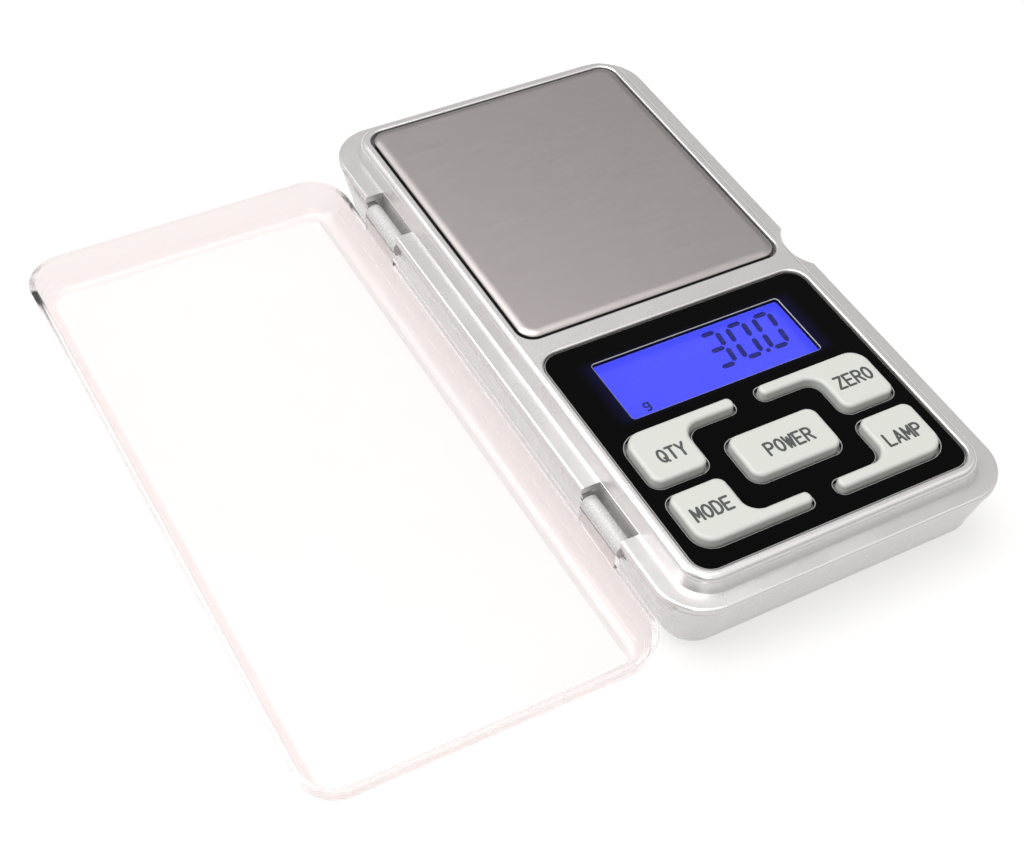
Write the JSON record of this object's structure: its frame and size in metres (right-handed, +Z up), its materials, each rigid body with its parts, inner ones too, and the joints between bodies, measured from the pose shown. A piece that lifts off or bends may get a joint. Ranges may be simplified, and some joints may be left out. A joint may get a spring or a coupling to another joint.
{
  "type": "digital pocket scale",
  "caption": "Slim battery-powered gram scale with a square steel weighing tray, a lit display, a keypad and a clear flip lid.",
  "frame": {"origin": "under the middle of the body, on the table, with the lid folded open to one side", "axes": "+Z up; +Y from the keypad end towards the tray end; +X from the hinge side across the body to its free side"},
  "size_m": [0.1199, 0.12, 0.0173],
  "materials": {
    "silver_paint": "satin silver paint on moulded plastic",
    "black_panel": "glossy black printed sheet",
    "clear_plastic": "clear moulded polystyrene",
    "clear_window": "clear acrylic",
    "lit_display": "liquid crystal glass lit blue from behind",
    "light_guide": "milky light guide",
    "dark_rubber": "matt black rubber",
    "circuit_board": "green solder mask",
    "black_epoxy": "cured black epoxy",
    "key_plastic": "pale grey moulded plastic",
    "brushed_steel": "fine brushed stainless steel",
    "black_plastic": "black moulded plastic",
    "aluminium": "machined",
    "gauge_foil": "amber film with etched foil",
    "cell_jacket": "plain printed cell jacket",
    "plated_steel": "bright nickel plate",
    "red_insulation": "wire insulation",
    "black_insulation": "wire insulation",
    "green_insulation": "wire insulation",
    "white_insulation": "wire insulation"
  },
  "bodies": {
    "root": {"battery_cell_1": "cell_jacket", "battery_cell_2": "cell_jacket", "battery_spring_1": "plated_steel", "battery_spring_2": "plated_steel", "battery_wire_black": "black_insulation", "battery_wire_red": "red_insulation", "bottom_housing": "silver_paint", "contact_link": "plated_steel", "contact_negative": "plated_steel", "contact_positive": "plated_steel", "controller_chip": "black_epoxy", "display_backlight": "light_guide", "display_contact_strip": "dark_rubber", "display_glass": "lit_display", "display_lens": "clear_window", "foot_1": "dark_rubber", "foot_2": "dark_rubber", "foot_3": "dark_rubber", "foot_4": "dark_rubber", "front_panel": "black_panel", "hinge_pin_far": "plated_steel", "hinge_pin_near": "plated_steel", "housing_screw_1": "plated_steel", "housing_screw_2": "plated_steel", "housing_screw_3": "plated_steel", "housing_screw_4": "plated_steel", "key_board": "circuit_board", "key_count_dome": "plated_steel", "key_light_dome": "plated_steel", "key_power_dome": "plated_steel", "key_ribbon": "white_insulation", "key_tare_dome": "plated_steel", "key_units_dome": "plated_steel", "load_cell": "aluminium", "load_cell_screw_1": "plated_steel", "load_cell_screw_2": "plated_steel", "load_cell_wire_black": "black_insulation", "load_cell_wire_green": "green_insulation", "load_cell_wire_red": "red_insulation", "load_cell_wire_white": "white_insulation", "main_board": "circuit_board", "overload_stop_screw": "plated_steel", "strain_gauge_bottom": "gauge_foil", "strain_gauge_top": "gauge_foil", "top_housing": "silver_paint"},
    "lid": {"lid": "clear_plastic"},
    "platform": {"weighing_tray": "brushed_steel", "tray_carrier": "black_plastic", "carrier_screw_1": "plated_steel", "carrier_screw_2": "plated_steel"},
    "battery_door": {"battery_door": "silver_paint"},
    "key_power": {"key_power": "key_plastic"},
    "key_count": {"key_count": "key_plastic"},
    "key_tare": {"key_tare": "key_plastic"},
    "key_units": {"key_units": "key_plastic"},
    "key_light": {"key_light": "key_plastic"}
  },
  "joints": [
    {"name": "lid_hinge", "type": "hinge", "parent": "root", "child": "lid", "pos_m": [-0.0296, 0, 0.01], "axis": [0, 1, 0], "range_deg": [0, 180]},
    {"name": "platform_sink", "type": "slide", "parent": "root", "child": "platform", "axis": [0, 0, -1], "range_m": [0, 0.0003], "stiffness_N_per_m": 16000},
    {"name": "battery_door_slide", "type": "slide", "parent": "root", "child": "battery_door", "axis": [0, -1, 0], "range_m": [0, 0.028]},
    {"name": "key_power_press", "type": "slide", "parent": "root", "child": "key_power", "axis": [0, 0, -1], "range_m": [0, 0.0005], "stiffness_N_per_m": 3000, "springref_m": -0.0001},
    {"name": "key_count_press", "type": "slide", "parent": "root", "child": "key_count", "axis": [0, 0, -1], "range_m": [0, 0.0005], "stiffness_N_per_m": 3000, "springref_m": -0.0001},
    {"name": "key_tare_press", "type": "slide", "parent": "root", "child": "key_tare", "axis": [0, 0, -1], "range_m": [0, 0.0005], "stiffness_N_per_m": 3000, "springref_m": -0.0001},
    {"name": "key_units_press", "type": "slide", "parent": "root", "child": "key_units", "axis": [0, 0, -1], "range_m": [0, 0.0005], "stiffness_N_per_m": 3000, "springref_m": -0.0001},
    {"name": "key_light_press", "type": "slide", "parent": "root", "child": "key_light", "axis": [0, 0, -1], "range_m": [0, 0.0005], "stiffness_N_per_m": 3000, "springref_m": -0.0001}
  ]
}
